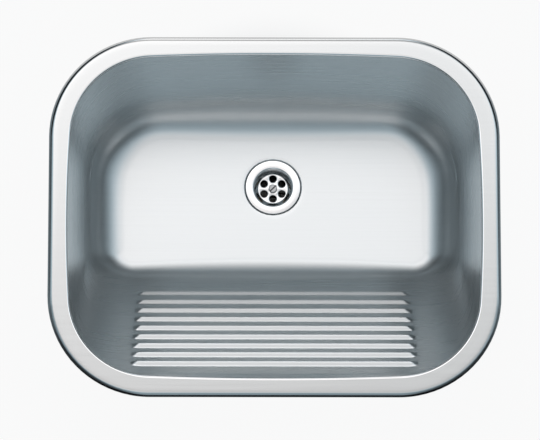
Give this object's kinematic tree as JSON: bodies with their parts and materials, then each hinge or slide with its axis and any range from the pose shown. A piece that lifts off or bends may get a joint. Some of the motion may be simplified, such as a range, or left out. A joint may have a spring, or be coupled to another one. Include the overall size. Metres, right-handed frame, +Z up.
{
  "type": "laundry sink",
  "caption": "Inset pressed-steel laundry sink with rounded corners, a bevelled rim, a sloped washboard front, a flanged strainer waste and swing-out fixing clips.",
  "frame": {"origin": "middle of the opening on the worktop plane, where the rim's foam seal rests", "axes": "+X to the user's right, +Y to the back, +Z up"},
  "size_m": [0.54, 0.44, 0.2705],
  "materials": {
    "bowl_steel": "satin stainless",
    "strainer_steel": "polished stainless",
    "screw_steel": "stainless",
    "gasket_rubber": "matte",
    "foam": "closed-cell foam",
    "bitumen": "matte",
    "waste_plastic": "moulded",
    "insert_brass": "turned",
    "clip_steel": "galvanised",
    "clip_screw_steel": "zinc plated"
  },
  "bodies": {
    "sink": {"sink_bowl": "bowl_steel", "rim_seal": "foam", "sound_pad_left": "bitumen", "sound_pad_right": "bitumen", "waste_strainer": "strainer_steel", "waste_screw": "screw_steel", "flange_gasket": "gasket_rubber", "body_gasket": "gasket_rubber", "waste_body": "waste_plastic", "screw_insert": "insert_brass", "clip_bracket_1": "clip_steel", "clip_bracket_2": "clip_steel", "clip_bracket_3": "clip_steel", "clip_bracket_4": "clip_steel", "clip_bracket_5": "clip_steel", "clip_bracket_6": "clip_steel"},
    "screw_1": {"clip_screw_1": "clip_screw_steel"},
    "nut_1": {"clip_nut_1": "clip_screw_steel"},
    "claw_1": {"clip_claw_1": "clip_steel"},
    "screw_2": {"clip_screw_2": "clip_screw_steel"},
    "nut_2": {"clip_nut_2": "clip_screw_steel"},
    "claw_2": {"clip_claw_2": "clip_steel"},
    "screw_3": {"clip_screw_3": "clip_screw_steel"},
    "nut_3": {"clip_nut_3": "clip_screw_steel"},
    "claw_3": {"clip_claw_3": "clip_steel"},
    "screw_4": {"clip_screw_4": "clip_screw_steel"},
    "nut_4": {"clip_nut_4": "clip_screw_steel"},
    "claw_4": {"clip_claw_4": "clip_steel"},
    "screw_5": {"clip_screw_5": "clip_screw_steel"},
    "nut_5": {"clip_nut_5": "clip_screw_steel"},
    "claw_5": {"clip_claw_5": "clip_steel"},
    "screw_6": {"clip_screw_6": "clip_screw_steel"},
    "nut_6": {"clip_nut_6": "clip_screw_steel"},
    "claw_6": {"clip_claw_6": "clip_steel"}
  },
  "joints": [
    {"name": "screw_turn_1", "type": "hinge", "parent": "sink", "child": "screw_1", "pos_m": [-0.12, 0.20705, -0.025], "axis": [0, 0, 1], "range_deg": [0, 3600]},
    {"name": "nut_climb_1", "type": "slide", "parent": "sink", "child": "nut_1", "axis": [0, 0, 1], "range_m": [0, 0.02]},
    {"name": "claw_swing_1", "type": "hinge", "parent": "nut_1", "child": "claw_1", "pos_m": [-0.12, 0.20705, -0.042], "axis": [0, 0, -1], "range_deg": [0, 90]},
    {"name": "screw_turn_2", "type": "hinge", "parent": "sink", "child": "screw_2", "pos_m": [0.12, 0.20705, -0.025], "axis": [0, 0, 1], "range_deg": [0, 3600]},
    {"name": "nut_climb_2", "type": "slide", "parent": "sink", "child": "nut_2", "axis": [0, 0, 1], "range_m": [0, 0.02]},
    {"name": "claw_swing_2", "type": "hinge", "parent": "nut_2", "child": "claw_2", "pos_m": [0.12, 0.20705, -0.042], "axis": [0, 0, -1], "range_deg": [0, 90]},
    {"name": "screw_turn_3", "type": "hinge", "parent": "sink", "child": "screw_3", "pos_m": [0.25605, 0, -0.025], "axis": [0, 0, 1], "range_deg": [0, 3600]},
    {"name": "nut_climb_3", "type": "slide", "parent": "sink", "child": "nut_3", "axis": [0, 0, 1], "range_m": [0, 0.02]},
    {"name": "claw_swing_3", "type": "hinge", "parent": "nut_3", "child": "claw_3", "pos_m": [0.25605, 0, -0.042], "axis": [0, 0, -1], "range_deg": [0, 90]},
    {"name": "screw_turn_4", "type": "hinge", "parent": "sink", "child": "screw_4", "pos_m": [0.12, -0.20705, -0.025], "axis": [0, 0, 1], "range_deg": [0, 3600]},
    {"name": "nut_climb_4", "type": "slide", "parent": "sink", "child": "nut_4", "axis": [0, 0, 1], "range_m": [0, 0.02]},
    {"name": "claw_swing_4", "type": "hinge", "parent": "nut_4", "child": "claw_4", "pos_m": [0.12, -0.20705, -0.042], "axis": [0, 0, -1], "range_deg": [0, 90]},
    {"name": "screw_turn_5", "type": "hinge", "parent": "sink", "child": "screw_5", "pos_m": [-0.12, -0.20705, -0.025], "axis": [0, 0, 1], "range_deg": [0, 3600]},
    {"name": "nut_climb_5", "type": "slide", "parent": "sink", "child": "nut_5", "axis": [0, 0, 1], "range_m": [0, 0.02]},
    {"name": "claw_swing_5", "type": "hinge", "parent": "nut_5", "child": "claw_5", "pos_m": [-0.12, -0.20705, -0.042], "axis": [0, 0, -1], "range_deg": [0, 90]},
    {"name": "screw_turn_6", "type": "hinge", "parent": "sink", "child": "screw_6", "pos_m": [-0.25605, 0, -0.025], "axis": [0, 0, 1], "range_deg": [0, 3600]},
    {"name": "nut_climb_6", "type": "slide", "parent": "sink", "child": "nut_6", "axis": [0, 0, 1], "range_m": [0, 0.02]},
    {"name": "claw_swing_6", "type": "hinge", "parent": "nut_6", "child": "claw_6", "pos_m": [-0.25605, 0, -0.042], "axis": [0, 0, -1], "range_deg": [0, 90]}
  ],
  "couplings": [
    {"joint": "screw_turn_1", "follows": "nut_climb_1", "rad_per_m": 3141.6},
    {"joint": "screw_turn_2", "follows": "nut_climb_2", "rad_per_m": 3141.6},
    {"joint": "screw_turn_3", "follows": "nut_climb_3", "rad_per_m": 3141.6},
    {"joint": "screw_turn_4", "follows": "nut_climb_4", "rad_per_m": 3141.6},
    {"joint": "screw_turn_5", "follows": "nut_climb_5", "rad_per_m": 3141.6},
    {"joint": "screw_turn_6", "follows": "nut_climb_6", "rad_per_m": 3141.6}
  ]
}
